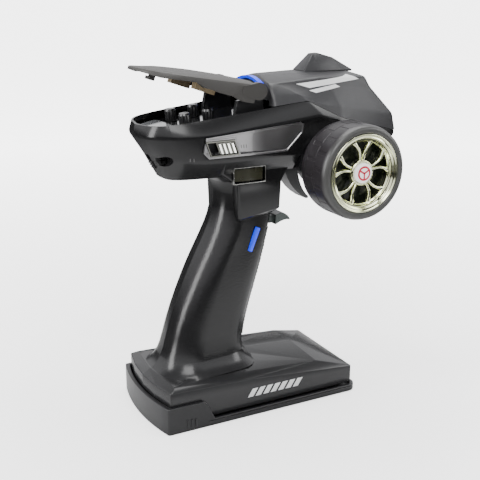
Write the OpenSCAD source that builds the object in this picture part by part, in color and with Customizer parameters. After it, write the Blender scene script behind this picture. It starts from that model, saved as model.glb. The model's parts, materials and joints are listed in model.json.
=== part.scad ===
// Pistol-grip radio transmitter: a base that holds four cells, a hand grip, a head with a side steering
// wheel, a finger trigger, and a control panel under a hinged lid. Millimetres, +X forwards, +Z up, -Y right.

/* [Base] */
// Length of the base without the bulge of its rear face
base_l = 115; // [100:1:140]
// Width of the base at the battery cover
base_w = 64; // [64:1:76]
// How far the rear face of the base bulges in the middle
rear_bulge = 4; // [1:0.5:6]
// Height of the rear end cap of the battery cover
cap_h = 15; // [13:0.5:18]
// Height of the low sides of the battery cover
cover_side_h = 4; // [3.5:0.5:6]
// Wall of the battery cover
cover_wall = 2; // [1.6:0.1:2.6]
// Height of the upper base at its rear corners
base_rear_h = 22.4; // [21:0.5:28]

/* [Grip] */
// Height of the underside of the head above the table
head_z = 132; // [124:1:160]
// Half width of the hand grip
grip_hw = 17; // [15:0.5:20]
// Wall of the two moulded shells
wall = 2; // [1.6:0.1:2.4]

/* [Head] */
// Width of the head across its sides
head_w = 56.8; // [54:0.2:68]
// How far the rear of the head reaches behind the origin
head_rear = 59.5; // [54:1:68]
// How far the nose of the hood reaches in front of the origin
head_front = 93; // [82:1:100]
// Height of the top of the hood above the underside of the head
hood_h = 46.5; // [44:0.5:56]

/* [Steering wheel] */
// Outer radius of the tyre
tyre_r = 24; // [20:0.5:27]
// Width of the tyre
tyre_w = 25; // [21:0.5:30]
// Wall of the tyre round the chrome rim
tyre_wall = 4.2; // [3.6:0.1:6]
// Number of double spokes
spoke_n = 5; // [3:1:7]
// Radius of the steering shaft
shaft_r = 2.5; // [2:0.1:3]

/* [Controls] */
// Radius of a panel knob
knob_r = 3; // [2.6:0.1:4]
// Height of a panel knob
knob_h = 6.3; // [5.5:0.1:8]
// Radius of the trigger's pivot pin
trigger_pin_r = 1.5; // [1.2:0.1:1.8]
// Width of the trigger blade
trigger_w = 11; // [9:0.5:13]
// Radius of the lid's hinge pins
lid_pin_r = 1.2; // [1:0.1:1.5]
// Angle that the open lid makes with the horizontal
lid_open = 10; // [0:1:20]

/* [Fits] */
// Clearance round a fitted trim or button
gap = 0.15; // [0.1:0.05:0.3]
// Radial clearance of a pin or shaft that turns
run = 0.05; // [0.02:0.01:0.1]

/* [Hidden] */

// Places in the frame of the whole object
side = head_w / 2;
shell_hw = base_w / 2 - 2.65;
half_l = base_l / 2;
rim_r = tyre_r - tyre_wall;
wheel_x = 36.8;
wheel_z = head_z + 3.8;
tyre_back = side + 10.6;
tyre_face = tyre_back + tyre_w;
housing_r = tyre_r - 5.5;
housing_waist = 14;
housing_in = 16;
housing_out = tyre_back - 1;
trigger_x = 28;
trigger_z = head_z + 7;
trigger_hw = trigger_w / 2;

// The rim of the control bay is a plane that rises towards the hood
rim_slope = 0.11;
rim_angle = atan(rim_slope);
rim_z0 = 32.64;
deck_depth = 4;
panel_t = 2;
rim_w = 2.6;
hinge_x = 0.5;
hinge_h = 8.9;
lid_closed_angle = lid_open + 15.5;
knob_rows = [-9, 9];
knob_cols = [-35.3, -22.3];
knob_shaft_r = 1.5;

function rim_z(x) = rim_z0 + rim_slope * x;
function unit(v) = v / norm(v);
function bez(a, b, c, t) = (1 - t) * (1 - t) * a + 2 * t * (1 - t) * b + t * t * c;

// Replaces one corner of a path with a curve that starts and ends r away from it
function soft_corner(a, b, c, r, n) =
  let (ra = min(r, norm(a - b) * 0.48), rc = min(r, norm(c - b) * 0.48))
  [for (i = [0:n]) bez(b + ra * unit(a - b), b, b + rc * unit(c - b), i / n)];

function soft_path(p, r, n) = concat(
  [p[0]],
  [for (i = [1:len(p) - 2]) each soft_corner(p[i - 1], p[i], p[i + 1], r[i - 1], n)],
  [p[len(p) - 1]]);

// Rounds the way from one level to the next, column by column
function soft_levels(rings, r, n) =
  let (cols = [for (j = [0:len(rings[0]) - 1]) soft_path([for (k = [0:len(rings) - 1]) rings[k][j]], r, n)])
  [for (k = [0:len(cols[0]) - 1]) [for (j = [0:len(cols) - 1]) cols[j][k]]];

// A closed solid through half rings that run on the right side from the rear to the front
module loft(half) {
  m = len(half[0]);
  n = 2 * m - 2;
  pts = [for (h = half) each concat(h, [for (i = [m - 2:-1:1]) [h[i].x, -h[i].y, h[i].z]])];
  top = (len(half) - 1) * n;
  function twin(i) = (n - i) % n;
  sides = [for (k = [0:len(half) - 2]) for (i = [0:n - 1])
    let (a = k * n + i, b = a + n, d = k * n + (i + 1) % n, c = d + n) each [[a, b, c], [a, c, d]]];
  lids = [for (i = [0:m - 2]) each [
    i == 0 ? [0, 1, n - 1] : [i, i + 1, twin(i + 1)],
    i == 0 || i == m - 2 ? [] : [i, twin(i + 1), twin(i)],
    i == m - 2 ? [m - 2, m - 1, m] : []]];
  low = [for (f = lids) if (len(f) == 3 && f[0] != f[1] && f[1] != f[2] && f[0] != f[2]) f];
  seen = [for (i = [0:len(low) - 1]) if (len([for (j = [0:1:i - 1]) if (low[j] == low[i]) 1]) == 0) low[i]];
  polyhedron(pts, concat(sides, seen, [for (f = seen) [top + f[2], top + f[1], top + f[0]]]), convexity = 6);
}

// Which way a wall's inner face lies from each column of the head: rear, corners, sides, nose
head_in = [[1, 0], [0.7, 0.7], [0.25, 1], [0, 1], [0, 1], [-0.6, 0.8], [-1, 0]];
head_soft = [12, 13, 2, 3, 6];

// The four levels of the lower head: underside, lower edge, upper edge of the side, and rim
function head_level(k) =
  k == 0 ? [
    [14 - head_rear, 0, -2], [15 - head_rear, -11, -2], [31 - head_rear, -17, -1.5],
    [10, -17.5, -1], [36, -17, -1], [head_front - 25, -12, 1], [head_front - 22, 0, 1]]
  : k == 1 ? [
    [7 - head_rear, 0, 10.4], [9.5 - head_rear, -16, 10.2], [26 - head_rear, 2.4 - side, 8.4],
    [20, 2 - side, 8.4], [44, 2 - side, 8.4], [head_front - 7, -16.5, 7], [head_front - 4, 0, 7]]
  : k == 2 ? [
    [-head_rear, 0, 20.8], [3 - head_rear, -18, 21], [22 - head_rear, 0.8 - side, 21.8],
    [34, -side, 28.1], [46, 0.7 - side, 23.6], [head_front - 2.5, -17.5, 12], [head_front, 0, 12]]
  : [
    [1.4 - head_rear, 0, rim_z(1.4 - head_rear)], [5 - head_rear, -17.5, rim_z(5 - head_rear)],
    [17 - head_rear, 5.9 - side, rim_z(17 - head_rear)], [26, 1.9 - side, rim_z(26)],
    [47, 1.2 - side, 25.5], [head_front - 2.5, -17, 14], [head_front, 0, 14]];

function head_ring(k, t, lift) = soft_path(
  [for (i = [0:6]) let (p = head_level(k)[i], d = head_in[i]) [p.x + t * d.x, p.y + t * d.y, p.z + lift]],
  head_soft, 4);

// The lower head as a solid, t inside its outer face
module head_solid(t = 0) {
  translate([0, 0, head_z])
    loft(soft_levels([head_ring(0, t, t), head_ring(1, t, t / 2), head_ring(2, t, 0), head_ring(3, t, t > 0 ? 6 : 0)],
      [1.5, 1.2], 2));
}

// Stations of the hand grip: share of the height, rear, front, half width, rear crease
grip_rise = head_z - 24;
grip_stations = [
  [0, -54.5, 5, 25, -38], [0.035, -50, 0.5, 20.5, -37], [0.1, -46.6, -1.8, 0.9, -34.5],
  [0.24, -42.6, 1.4, 0, -31], [0.38, -36.8, 6, 0, -26.5], [0.52, -29.9, 10.9, -0.2, -20.5],
  [0.66, -21.8, 14.8, -0.9, -12.5], [0.76, -17, 17.6, -2, -8], [0.85, -15, 18.8, -2.2, -6],
  [0.925, -15.6, 20, -1.2, -6.5], [0.97, -19.5, 22.5, 0, -8], [1.02, -31, 27, 1, -12]];

function grip_ring(s, t) =
  let (z = 24 + s[0] * grip_rise, w = (s[3] > 15 ? s[3] : grip_hw + s[3]) - t, r = s[1] + t, f = s[2] - t, c = s[4])
  soft_path([[r, 0, z], [r + 1.5, -w * 0.62, z], [c, -w, z], [f - 7, -w * 0.86, z], [f - 0.5, -w * 0.42, z], [f, 0, z]],
    [9, 5, 7, 5], 3);

module grip_solid(t = 0) {
  rings = [for (s = grip_stations) grip_ring(s, t)];
  loft(soft_levels(rings, [for (i = [1:len(rings) - 2]) 8], 2));
}

// The raised block under the head that carries the rocker button
block_hw = 17.8;
module rocker_block(t = 0) {
  low = [[-8.4, block_hw, -24], [13.8, block_hw, -20.5], [-6.5, 12, -27], [12.5, 12, -24]];
  mid = [[-9.2, block_hw, -6], [14.6, block_hw, -6]];
  top = [[-22, block_hw - 0.3, 3], [20.5, block_hw - 0.3, 3]];
  translate([0, 0, head_z])
    for (band = [concat(low, mid), concat(mid, top)])
      hull()
        for (s = [-1, 1])
          for (p = band)
            translate([p.x + (p.x < 0 ? t : -t), s * (p.y - t), p.z + (p.z < -20 ? t : 0)]) sphere(r = 1.2, $fn = 12);
}

// The upper base: a low roof with a ridge, a sloping front and a bulged rear
module base_solid(t = 0) {
  side_y = shell_hw - t - 0.8;
  rear = -(half_l - 3.5) + t;
  front = half_l - t - 0.8;
  bulge = rear_bulge;
  corners = [
    [rear, side_y, cover_side_h + 0.9], [rear + 0.8, side_y, base_rear_h - t - 0.8], [front, side_y, cover_side_h + 0.9],
    [front, side_y, 14.1 - t], [33, side_y, 16.2 - t], [-8, side_y, 20 - t],
    [rear + 3, side_y - 3, base_rear_h + 0.9 - t], [-8, side_y - 4.2, base_rear_h - 0.1 - t], [36, side_y - 4.2, 19.6 - t],
    [33.5, 0, 23 - t], [0, 0, 25.4 - t], [rear, 0, base_rear_h + 1.8 - t]];
  hull() {
    for (s = [-1, 1])
      for (p = corners) translate([p.x, s * p.y, p.z]) sphere(r = 0.8, $fn = 12);
    for (z = [cover_side_h + 0.9, base_rear_h - 0.8 - t], y = [-1, -0.5, 0, 0.5, 1])
      translate([rear - bulge * (1 - y * y), y * side_y, z]) sphere(r = 0.8, $fn = 12);
  }
}

// Everything that the two shells enclose
module body_solid() {
  head_solid();
  rocker_block();
  grip_solid();
  base_solid();
}

module body_hollow() {
  head_solid(wall);
  grip_solid(wall + 0.2);
  rocker_block(wall);
  base_solid(wall);
  translate([-half_l + 6, -shell_hw + wall, 0]) cube([base_l - 12, 2 * (shell_hw - wall), cover_side_h + 4]);
  for (h = [0.96, 0.99]) translate([-14, -12, 24 + h * grip_rise]) cube([34, 24, 8]);
}

// ---------------------------------------------------------------- hood
// Levels of the hood from its seam with the shells up to its crowned top
hood_rear = 6;
hood_soft = [2, 1, 1.5, 4];

function hood_level(k) =
  k == 0 ? [
    [hood_rear, 0, rim_z(6) + 0.2], [hood_rear + 1, 4 - side, rim_z(7) + 0.2], [26, 1.9 - side, rim_z(26) + 0.2],
    [47, 1.2 - side, 25.7], [head_front - 2.5, -17, 14.2], [head_front, 0, 14.2]]
  : k == 1 ? [
    [hood_rear + 0.3, 0, 38], [hood_rear + 1.3, 5.8 - side, 38], [22, 4.4 - side, 39], [47, 2.6 - side, 32],
    [head_front - 6, -18.5, 24], [head_front - 3, 0, 24]]
  : k == 2 ? [
    [hood_rear + 0.6, 0, hood_h - 3], [hood_rear + 1.6, 9 - side, hood_h - 3.5], [14, 9.6 - side, hood_h - 3],
    [42, 7.4 - side, hood_h - 3.5], [head_front - 22.5, -19.5, hood_h - 7], [head_front - 19, 0, hood_h - 6.5]]
  : k == 3 ? [
    [hood_rear + 1, 0, hood_h + 0.3], [hood_rear + 2, 11 - side, hood_h - 2.2], [11, 10.6 - side, hood_h - 2],
    [38, 9.4 - side, hood_h], [head_front - 25.5, -18.8, hood_h - 1.4], [head_front - 23.5, 0, hood_h - 0.8]]
  : [
    [hood_rear + 3, 0, hood_h + 1], [hood_rear + 4, -5, hood_h + 0.8], [12, -5.5, hood_h + 0.9],
    [38, -6, hood_h + 1.6], [head_front - 29, -6, hood_h + 0.6], [head_front - 28, 0, hood_h + 0.7]];

hood_in = [[1, 0, 0], [0.7, 0.8, 0], [0, 1, -0.3], [0, 1, -0.3], [-0.8, 0.6, -0.6], [-1, 0, -0.6]];

function hood_ring(k, t) = soft_path(
  [for (i = [0:5]) let (p = hood_level(k)[i], d = hood_in[i])
    [p.x + t * d.x, min(p.y + t * d.y, -0.01 * (i % 5)), p.z + (k == 0 ? -3 * t : k > 2 ? -t : t * d.z)]],
  hood_soft, 3);

module hood_solid(t = 0) {
  translate([0, 0, head_z])
    loft(soft_levels([for (k = [0:4]) hood_ring(k, t)], [1.5, 1.5, 1.2], 2));
}

// ---------------------------------------------------------------- the two shells
// A short screw in the right shell holds the power switch; long ones enter the left shell and join both
screw_r = 1.3;
right_spots = [[11.3 - head_rear, head_z + 8.7]];
left_spots = [
  [22 - head_rear, head_z + 3], [66, head_z + 9], [5, head_z - 12], [-32, 54], [half_l - 13.5, 10.5], [9 - half_l, 17.5]];
boss_r = 3.4;
boss_y = 4;

module at_spot(p) { translate([p[0], 0, p[1]]) rotate([90, 0, 0]) children(); }

// Each boss is a round post with a web on both sides
module boss(p, inside) {
  for (a = [0, 90])
    hull() {
      at_spot(p) cylinder(r = boss_r, h = inside, $fn = 20);
      at_spot(p) rotate([0, 0, a]) translate([boss_r + 0.6, -0.5, 0]) cube([0.6, 1, inside]);
    }
}

// A window through the shells for the control bay, the hood and the trigger
module top_window() {
  translate([0, 0, head_z]) {
    translate([hood_rear + 3, -(side - 7), 22]) cube([62, 2 * (side - 7), 14]);
    translate([hood_rear + 30, -13, 12]) cube([44, 26, 20]);
  }
}

module trigger_slot() {
  translate([trigger_x - 9, -trigger_hw - 1.2, head_z - 6]) cube([24, trigger_w + 2.4, 14]);
}

// The side panel pocket, in the plane of the side wall
side_tilt = 5.7;
trim_outline = [[-33, 13.5], [-32, 21.2], [21, 25.4], [23, 24.4], [22.6, 19.6], [14.5, 11], [11, 10.6], [-30, 10.6]];
trim_t = 1.1;
trim_proud = 0.3;

module on_side(out = 0) {
  translate([0, -(side - 2) - out, head_z + 8.4]) rotate([90 + side_tilt, 0, 0]) translate([0, -8.4, 0]) children();
}

module trim_plate(grow, low, high) {
  translate([0, 0, low])
    linear_extrude(high - low)
      offset(r = grow, $fn = 24) polygon(trim_outline);
}

slot_at = [-23, 15.6];
slot_size = [14.4, 6.4];
slot_skew = 22;
module slot_shape(grow) {
  multmatrix([[1, -tan(slot_skew), 0, slot_at.x], [0, 1, 0, slot_at.y], [0, 0, 1, 0]])
    square([slot_size.x + 2 * grow, slot_size.y + 2 * grow], center = true);
}

// The rocker button's opening in the side of the raised block
rocker_at = [-4, head_z - 1.2];
rocker_size = [18.4, 8.4];
module at_rocker(out = 0) {
  translate([rocker_at.x, -(block_hw + 1.2) - out, rocker_at.y]) rotate([90, 0, 0]) children();
}
module rocker_frame(grow, t) {
  linear_extrude(t, center = true)
    square([rocker_size.x + 2 * grow, rocker_size.y + 2 * grow], center = true);
}

// The power switch sits in a slot of the sloping rear wall
power_at = [-head_rear + 9.1, head_z + 6.7];
power_tilt = -29.4;
power_l = 4.5;
power_travel = 4;
module at_power(out = 0) {
  translate([power_at.x, 0, power_at.y]) rotate([0, -90 + power_tilt, 0]) translate([0, 0, out]) children();
}

// A light strip lies in the front of each side of the grip
light_foot = [-1.4, -(grip_hw - 2.6), 88];
light_l = 13.5;
light_lean = 22;
module on_grip(out = 0) {
  translate([light_foot.x, light_foot.y - out, light_foot.z]) rotate([0, light_lean, 0]) rotate([0, 0, 22]) children();
}
module light_bar(grow, deep) {
  on_grip()
    translate([-1.1 - grow, -1.6, -grow]) cube([2.2 + 2 * grow, deep, light_l + 2 * grow]);
}

module shell_half() {
  difference() {
    body_solid();
    body_hollow();
    top_window();
    trigger_slot();
    translate([-200, 0, -10]) cube([400, 200, 400]);
  }
}

// Posts end inside the walls: one kind carries the screw heads, the other is bitten into
module post_room() {
  head_solid(wall / 2);
  rocker_block(wall / 2);
  grip_solid(wall / 2);
  base_solid(wall / 2);
}
module head_posts(spots) {
  intersection() {
    post_room();
    for (p = spots) translate([0, -boss_y, 0]) boss(p, 30);
  }
}
module thread_posts(spots) {
  intersection() {
    post_room();
    for (p = spots) mirror([0, 1, 0]) translate([0, -0.3, 0]) boss(p, 30);
  }
}
module head_holes(spots) {
  for (p = spots) {
    at_spot(p) cylinder(r = screw_r + 0.3, h = 60, $fn = 24);
    at_spot(p) translate([0, 0, boss_y + 4]) cylinder(r = 2.9, h = 60, $fn = 32);
  }
}
module thread_holes(spots) {
  for (p = spots) mirror([0, 1, 0]) at_spot(p) cylinder(r = screw_r + 0.02, h = 12, $fn = 24);
}

// Cuts that both shells share
module common_cuts() {
  on_side() trim_plate(gap, -trim_t, 3);
  at_power(-wall - 0.8) translate([-power_l, -2.2, 0]) cube([2 * power_l, 2.3, 12]);
  light_bar(gap, 8);
  finger_rest_root(0.15);
  front_grip_groove();
  panel_seat();
}

module right_shell() {
  color([0.09, 0.09, 0.095])
    difference() {
      union() {
        shell_half();
        head_posts(right_spots);
        mirror([0, 1, 0]) thread_posts(left_spots);
      }
      head_holes(right_spots);
      mirror([0, 1, 0]) thread_holes(left_spots);
      common_cuts();
      on_side() translate([0, 0, -6]) linear_extrude(12) slot_shape(0.9);
      at_rocker() rocker_frame(0.25, 12);
      at_wheel(housing_in - 0.3) cylinder(r = housing_waist + 0.3, h = 60, $fn = 72);
      at_wheel(side - 1.3) cylinder(r = tyre_r - 1.6, h = 60, $fn = 72);
    }
}

module left_shell() {
  color([0.09, 0.09, 0.095])
    difference() {
      union() {
        mirror([0, 1, 0]) shell_half();
        mirror([0, 1, 0]) head_posts(left_spots);
      }
      mirror([0, 1, 0]) head_holes(left_spots);
      mirror([0, 1, 0]) common_cuts();
    }
}

// ---------------------------------------------------------------- hood, fin, light
module hood() {
  color([0.2, 0.2, 0.21])
    difference() {
      hood_solid();
      hood_solid(wall);
      translate([hood_rear - 5, -5, head_z + 20]) cube([12, 10, 18]);
      hood_light_bar(0.12);
      for (s = [-1, 1]) translate([hood_rear - 1, s * (side - 12) - 3.6, head_z + 33]) cube([6, 7.2, 3]);
      translate([44, 0, head_z + 30]) cylinder(r = 3, h = 30, $fn = 24);
      for (i = [0:7]) translate([50 + 2 * i, -6, head_z + 34]) cube([0.6, 12, 2]);
    }
}

fin_seat = hood_h + 2.2;
module fin_shape(t = 0) {
  translate([0, 0, head_z])
    hull()
      for (s = [-1, 1])
        for (p = [[36.5, 5.4, fin_seat - 0.6], [43.5, 1.8, fin_seat + 7.6], [47, 1.5, fin_seat + 7.8], [56, 1.8, fin_seat + 5.2],
                  [69, 1.2, fin_seat - 1.6], [46, 6.4, fin_seat - 0.6], [60, 4, fin_seat - 0.9]])
          translate([p.x, s * max(p.y - t, 0.3), p.z - t * (p.z > fin_seat ? 1 : 0)]) sphere(r = 0.6, $fn = 12);
}

module antenna_fin() {
  color([0.22, 0.22, 0.23])
    difference() {
      union() {
        fin_shape();
        translate([44, 0, head_z + hood_h - 2]) cylinder(r = 2.8, h = 6);
      }
      hood_solid(-0.06);
      translate([44, 0, head_z + hood_h - 5]) cylinder(r = 1.6, h = 12);
    }
}

// The light is an arched bar let into the hood's rear top edge
module hood_light_bar(grow) {
  translate([hood_rear - 1.2, 0, head_z + hood_h - 1])
    rotate([90, 0, 90])
      linear_extrude(2.6 + grow)
        polygon(concat(
          [for (i = [-6:6]) let (y = i * (13.5 + grow) / 6) [y, 1.6 + grow - 3.2 * pow(y / 14, 2)]],
          [for (i = [6:-1:-6]) let (y = i * (13.5 + grow) / 6) [y, 0.2 - grow - 3.2 * pow(y / 14, 2)]]));
}
module hood_light() { color([0.2, 0.35, 1]) hood_light_bar(0); }

// ---------------------------------------------------------------- control bay
module on_deck() { translate([0, 0, head_z + rim_z0]) rotate([0, -rim_angle, 0]) children(); }

// Outline of the control bay, inside the rim
function bay_outline(t) =
  let (r = soft_path([[1.4 - head_rear + t, 0], [5 - head_rear + 0.7 * t, -17.5 + 0.7 * t],
    [17 - head_rear, 5.9 - side + t], [hood_rear - 1, 4 - side + t], [hood_rear - 1, 0]], [12, 13, 0.5], 4))
  concat(r, [for (i = [len(r) - 2:-1:1]) [r[i].x, -r[i].y]]);

module panel_seat() {
  on_deck() translate([0, 0, -deck_depth - panel_t - 0.1]) linear_extrude(20) polygon(bay_outline(rim_w - gap));
}

module control_panel() {
  color([0.03, 0.03, 0.035])
    on_deck()
      difference() {
        translate([0, 0, -deck_depth - panel_t]) linear_extrude(panel_t) polygon(bay_outline(rim_w));
        for (x = knob_cols, y = knob_rows) translate([x, y, -20]) cylinder(r = knob_shaft_r + run, h = 30);
        translate([-52.5, -10.1, -deck_depth - 0.8]) cube([6.7, 20.2, 3]);
      }
}

module panel_window() {
  color([0.12, 0.13, 0.15])
    on_deck() translate([-52.4, -10, -deck_depth - 0.75]) cube([6.5, 20, 1.1]);
}

module panel_board() {
  color([0.05, 0.25, 0.12])
    on_deck()
      difference() {
        translate([-45, -17, -deck_depth - panel_t - 9.6]) cube([39, 34, 1.4]);
        for (x = [-42, -10], y = [-14.5, 14.5]) translate([x, y, -20]) cylinder(r = 1.1, h = 20);
      }
}

module panel_pots() {
  color([0.35, 0.36, 0.38])
    on_deck()
      for (x = knob_cols, y = knob_rows)
        translate([x, y, -deck_depth - panel_t - 8.2]) {
          translate([-4.4, -4.4, 0]) cube([8.8, 8.8, 5.6]);
          translate([0, 0, 5.6]) cylinder(r = 3, h = 2.2);
        }
}

// A fluted knob on its own shaft
module knob(x, y) {
  on_deck()
    translate([x, y, -deck_depth + 0.25]) {
      difference() {
        union() {
          cylinder(r = knob_r, h = knob_h - 1);
          translate([0, 0, knob_h - 1]) cylinder(r1 = knob_r, r2 = knob_r - 0.5, h = 1, $fn = 48);
        }
        for (i = [0:11]) rotate([0, 0, 30 * i]) translate([knob_r + 0.25, 0, -1]) cylinder(r = 0.5, h = knob_h);
        translate([0.6, -0.3, knob_h - 0.4]) cube([knob_r, 0.6, 1]);
      }
      translate([0, 0, -panel_t + 0.1]) cylinder(r = knob_shaft_r, h = panel_t);
    }
}
module knob_1() { color([0.06, 0.06, 0.065]) knob(knob_cols[0], knob_rows[0]); }
module knob_2() { color([0.06, 0.06, 0.065]) knob(knob_cols[1], knob_rows[0]); }
module knob_3() { color([0.06, 0.06, 0.065]) knob(knob_cols[0], knob_rows[1]); }
module knob_4() { color([0.06, 0.06, 0.065]) knob(knob_cols[1], knob_rows[1]); }

// ---------------------------------------------------------------- lid
lid_hw = side - 4.6;
module at_hinge() { on_deck() translate([hinge_x, 0, hinge_h]) children(); }
module lid_pose() { at_hinge() rotate([0, lid_closed_angle, 0]) translate([-hinge_x, 0, -hinge_h]) children(); }

lid_in = [[1, 0, 0], [0.8, 0.6, 0], [0.3, 1, 0], [0, 1, 0], [0, 1, 0], [0, 1, 0]];
function lid_level(k) =
  k == 0 ? [
    [-head_rear + 0.2, 0, 0.5], [-head_rear + 3, -13, 0.5], [-head_rear + 16, 1.5 - lid_hw, 0.5],
    [-24, -lid_hw, 2.6], [-9, -lid_hw, 1], [hinge_x - 1, -lid_hw, 2.6], [hinge_x - 1, 0, 2.6]]
  : k == 1 ? [
    [-head_rear, 0, 1.9], [-head_rear + 2.8, -13, 2.2], [-head_rear + 16, 1.3 - lid_hw, 4.4],
    [-24, 0.3 - lid_hw, 7.8], [-9, 0.3 - lid_hw, 10.4], [hinge_x - 1, 0.3 - lid_hw, 12], [hinge_x - 1, 0, 12]]
  : [
    [-head_rear + 8, 0, 4.1], [-head_rear + 9, -6, 4], [-head_rear + 17, 9 - lid_hw, 6],
    [-24, 8 - lid_hw, 9.6], [-9, 8 - lid_hw, 11.9], [hinge_x - 1, 8 - lid_hw, 13], [hinge_x - 1, 0, 13.2]];

function lid_ring(k, t) = soft_path(
  [for (i = [0:6]) let (p = lid_level(k)[i], d = lid_in[min(i, 5)])
    [p.x + t * d.x, min(p.y + t * d.y, i % 6 == 0 ? 0 : -0.1), p.z - (k == 0 ? 6 * t : 0.9 * t)]],
  [10, 12, 4, 4, 0.4], 3);

module lid_solid(t = 0) { loft(soft_levels([lid_ring(0, t), lid_ring(1, t), lid_ring(2, t)], [1.2], 2)); }

module lid() {
  color([0.3, 0.29, 0.28])
    lid_pose()
      difference() {
        union() {
          difference() {
            lid_solid();
            lid_solid(1.6);
          }
          for (s = [-1, 1]) {
            hull() {
              translate([hinge_x, s * (lid_hw - 1.6), hinge_h]) rotate([90, 0, 0]) cylinder(r = 4.4, h = 3.2, center = true, $fn = 40);
              translate([-6, s * (lid_hw - 0.9), 7]) rotate([90, 0, 0]) cylinder(r = 3, h = 1.8, center = true, $fn = 24);
            }
            for (x = [-34, -28, -22]) hull() {
              translate([x, s * 3, 7.2 + (x + 34) * 0.15]) sphere(r = 0.5, $fn = 8);
              translate([x, s * 11.8, 6.3 + (x + 34) * 0.15]) sphere(r = 0.5, $fn = 8);
            }
          }
        }
        translate([hinge_x - 3, -lid_hw + 3.4, -2]) cube([12, 2 * lid_hw - 6.8, 30]);
        for (s = [-1, 1])
          translate([hinge_x, s * (lid_hw - 4), hinge_h]) rotate([90, 0, 0]) cylinder(r = lid_pin_r, h = 5, center = true, $fn = 32);
      }
}

// A block under the lid that rests on the panel's middle when the lid is shut
module lid_rest() {
  color([0.5, 0.42, 0.28])
    lid_pose()
      intersection() {
        for (s = [-1, 1]) translate([-31, s * 15 - 2.5, 1.8]) cube([11, 5, 9]);
        lid_solid(1.6);
      }
}

module lid_pins() {
  color([0.6, 0.6, 0.62])
    at_hinge()
      for (s = [-1, 1]) translate([0, s * (lid_hw - 4.05), 0]) rotate([90, 0, 0]) cylinder(r = lid_pin_r, h = 4.9, center = true);
}

module hinge_brackets() {
  color([0.12, 0.12, 0.125])
    at_hinge()
      for (s = [-1, 1]) translate([0, s * (lid_hw - 5.2), 0])
        difference() {
          union() {
            rotate([90, 0, 0]) cylinder(r = 3.4, h = 2.6, center = true);
            rotate([90, 0, 0])
              linear_extrude(2.6, center = true)
                polygon([[3.4, 0], [-3.4, 0], [-3.6, -3], [-11, -3.4], [-14, -hinge_h - deck_depth], [3.4, -hinge_h - deck_depth]]);
          }
          rotate([90, 0, 0]) cylinder(r = lid_pin_r + run, h = 6, center = true);
        }
}

module lid_latch() {
  color([0.2, 0.2, 0.2])
    lid_pose()
      translate([-head_rear + 11.5, -3, 0]) {
        cube([1.6, 6, 2.9]);
        translate([-1.4, 0, -1.6]) cube([3, 6, 1.6]);
      }
}

// ---------------------------------------------------------------- side trims, switch, button
module right_side_trim() {
  color([0.05, 0.05, 0.055])
    difference() {
      on_side() trim_plate(0, gap - trim_t, trim_proud);
      on_side() translate([0, 0, -6]) linear_extrude(12) slot_shape(0.9);
    }
}
module left_side_trim() { color([0.05, 0.05, 0.055]) mirror([0, 1, 0]) on_side() trim_plate(0, gap - trim_t, trim_proud); }

module switch_bezel() {
  color([0.85, 0.85, 0.82])
    on_side()
      translate([0, 0, -1.7])
        linear_extrude(2.6)
          difference() {
            slot_shape(0.8);
            slot_shape(0);
          }
}

// The slider knob sits at the front end of its slot; it has four ribs
slider_l = 9.6;
module side_slider() {
  color([0.8, 0.8, 0.76])
    on_side()
      multmatrix([[1, -tan(slot_skew), 0, slot_at.x + (slot_size.x - slider_l) / 2 - 0.2], [0, 1, 0, slot_at.y], [0, 0, 1, 0]]) {
        translate([-slider_l / 2, -slot_size.y / 2 + 0.25, -2.6]) cube([slider_l, slot_size.y - 0.5, 3.1]);
        for (i = [0:3]) translate([-slider_l / 2 + 0.7 + i * 2.35, -slot_size.y / 2 + 0.6, 0.5]) cube([1.2, slot_size.y - 1.2, 0.9]);
      }
}

module side_switch_body() {
  color([0.15, 0.15, 0.16])
    on_side() translate([slot_at.x - 7, slot_at.y - 4, -9]) cube([15, 8, 5.8]);
}

module button_bezel() {
  color([0.85, 0.85, 0.8])
    difference() {
      at_rocker() rocker_frame(0.15, 2.6);
      at_rocker() rocker_frame(-0.75, 6);
    }
}

// Two sloping faces meet in a ridge; the button rocks about its middle
rocker_half = rocker_size.x / 2 - 1;
rocker_hh = rocker_size.y / 2 - 1;
module rocker_button() {
  color([0.16, 0.16, 0.12])
    at_rocker(-1.6)
      difference() {
        rotate([90, 0, 0])
          linear_extrude(2 * rocker_hh, center = true)
            polygon([[-rocker_half, -1.2], [rocker_half, -1.2], [rocker_half, 1.5], [0.5, 2.3], [-0.5, 2.3], [-rocker_half, 1.5]]);
        rotate([90, 0, 0]) cylinder(r = 0.8 + run, h = 20, center = true);
      }
}

module button_switch_body() {
  color([0.15, 0.15, 0.16])
    at_rocker(-1.6) {
      for (s = [-1, 1]) translate([s * 5.5, 0, -5.6]) cube([4, 5, 6], center = true);
      translate([0, 0, -8.6]) cube([rocker_size.x - 2, 6.4, 1.6], center = true);
      rotate([90, 0, 0]) cylinder(r = 0.8, h = 2 * rocker_hh + 0.4, center = true);
      for (s = [-1, 1]) translate([0, s * (rocker_hh + 0.45), -4.4]) cube([2, 0.7, 8.8], center = true);
    }
}

module power_slider() {
  slider = 2 * power_l - 0.4 - power_travel;
  color([0.3, 0.3, 0.31])
    at_power()
      translate([0.2 - power_l, -2, 0]) {
        translate([0, 0, -wall - 0.4]) cube([slider, 4, wall + 0.7]);
        for (i = [0:2]) translate([0.5 + i * 1.5, 0, 0.3]) cube([0.6, 4, 0.5]);
      }
}

module power_switch_body() {
  color([0.5, 0.5, 0.52]) at_power() translate([-6.4, -3.4, -wall - 5]) cube([12.8, 6.8, 4.2]);
}

// A light bar with a rounded inner end, held in the grip wall
module right_grip_light() { color([0.1, 0.45, 1]) light_bar(0, 2.2); }
module left_grip_light() { color([0.1, 0.45, 1]) mirror([0, 1, 0]) light_bar(0, 2.2); }

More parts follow.
